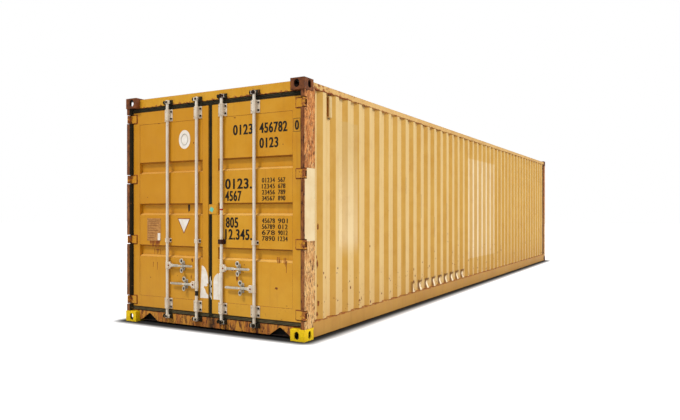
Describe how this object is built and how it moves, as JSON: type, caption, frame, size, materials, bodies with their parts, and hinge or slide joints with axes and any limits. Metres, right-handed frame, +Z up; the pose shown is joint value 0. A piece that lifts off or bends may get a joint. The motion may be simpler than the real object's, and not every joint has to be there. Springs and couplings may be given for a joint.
{
  "type": "forty-foot dry freight container",
  "caption": "Long corrugated steel freight container with two hinged end doors, four turning lock rods, corner castings, plywood floor and hollow cargo space.",
  "frame": {"origin": "middle of the footprint, at the level of the bottom casting faces", "axes": "+Y along the length away from the doors, +X to the right when facing the doors, +Z up"},
  "size_m": [2.438, 12.192, 2.591],
  "materials": {
    "yellow_paint": "faded ochre yellow paint with rust and dirt",
    "bright_yellow": "bright yellow paint, worn",
    "rusty_steel": "yellow paint worn to brown rust",
    "zinc": "dull galvanised steel, chalky",
    "seal": "weathered dark rubber",
    "plywood": "worn hardwood plywood",
    "underside": "black underbody coating"
  },
  "bodies": {
    "container_frame": {"door_bottom_castings": "bright_yellow", "door_top_castings": "rusty_steel", "front_bottom_castings": "bright_yellow", "front_top_castings": "rusty_steel", "door_post_left": "rusty_steel", "door_post_right": "rusty_steel", "door_header": "yellow_paint", "door_sill": "rusty_steel", "front_posts": "rusty_steel", "front_header": "yellow_paint", "front_sill": "yellow_paint", "front_wall": "yellow_paint", "top_rails": "yellow_paint", "bottom_rails": "yellow_paint", "side_wall_left": "yellow_paint", "side_wall_right": "yellow_paint", "roof": "yellow_paint", "floor": "plywood", "cross_members": "underside", "side_vents": "yellow_paint", "hinge_lugs": "yellow_paint", "cam_keepers": "rusty_steel"},
    "left_door": {"left_door_frame": "yellow_paint", "left_door_panel": "yellow_paint", "left_door_gasket": "seal", "left_door_hinge_blades": "yellow_paint", "left_door_rod_guides": "zinc", "left_door_handle_retainers": "zinc"},
    "right_door": {"right_door_frame": "yellow_paint", "right_door_panel": "yellow_paint", "right_door_gasket": "seal", "right_door_hinge_blades": "yellow_paint", "right_door_rod_guides": "zinc", "right_door_handle_retainers": "zinc", "overlap_plate": "yellow_paint"},
    "left_outer_lock": {"left_outer_rod": "zinc", "left_outer_handle": "zinc"},
    "left_inner_lock": {"left_inner_rod": "zinc", "left_inner_handle": "zinc"},
    "right_inner_lock": {"right_inner_rod": "zinc", "right_inner_handle": "zinc"},
    "right_outer_lock": {"right_outer_rod": "zinc", "right_outer_handle": "zinc"}
  },
  "joints": [
    {"name": "right_door_hinge", "type": "hinge", "parent": "container_frame", "child": "right_door", "pos_m": [1.201, -6.074, 1.3], "axis": [0, 0, 1], "range_deg": [0, 265]},
    {"name": "left_door_hinge", "type": "hinge", "parent": "container_frame", "child": "left_door", "pos_m": [-1.201, -6.074, 1.3], "axis": [0, 0, -1], "range_deg": [0, 265]},
    {"name": "left_outer_lock_turn", "type": "hinge", "parent": "left_door", "child": "left_outer_lock", "pos_m": [-0.598, -6.066, 1.3], "axis": [0, 0, 1], "range_deg": [-100, 0]},
    {"name": "left_inner_lock_turn", "type": "hinge", "parent": "left_door", "child": "left_inner_lock", "pos_m": [-0.172, -6.066, 1.3], "axis": [0, 0, -1], "range_deg": [-100, 0]},
    {"name": "right_inner_lock_turn", "type": "hinge", "parent": "right_door", "child": "right_inner_lock", "pos_m": [0.172, -6.066, 1.3], "axis": [0, 0, 1], "range_deg": [-100, 0]},
    {"name": "right_outer_lock_turn", "type": "hinge", "parent": "right_door", "child": "right_outer_lock", "pos_m": [0.598, -6.066, 1.3], "axis": [0, 0, -1], "range_deg": [-100, 0]}
  ]
}
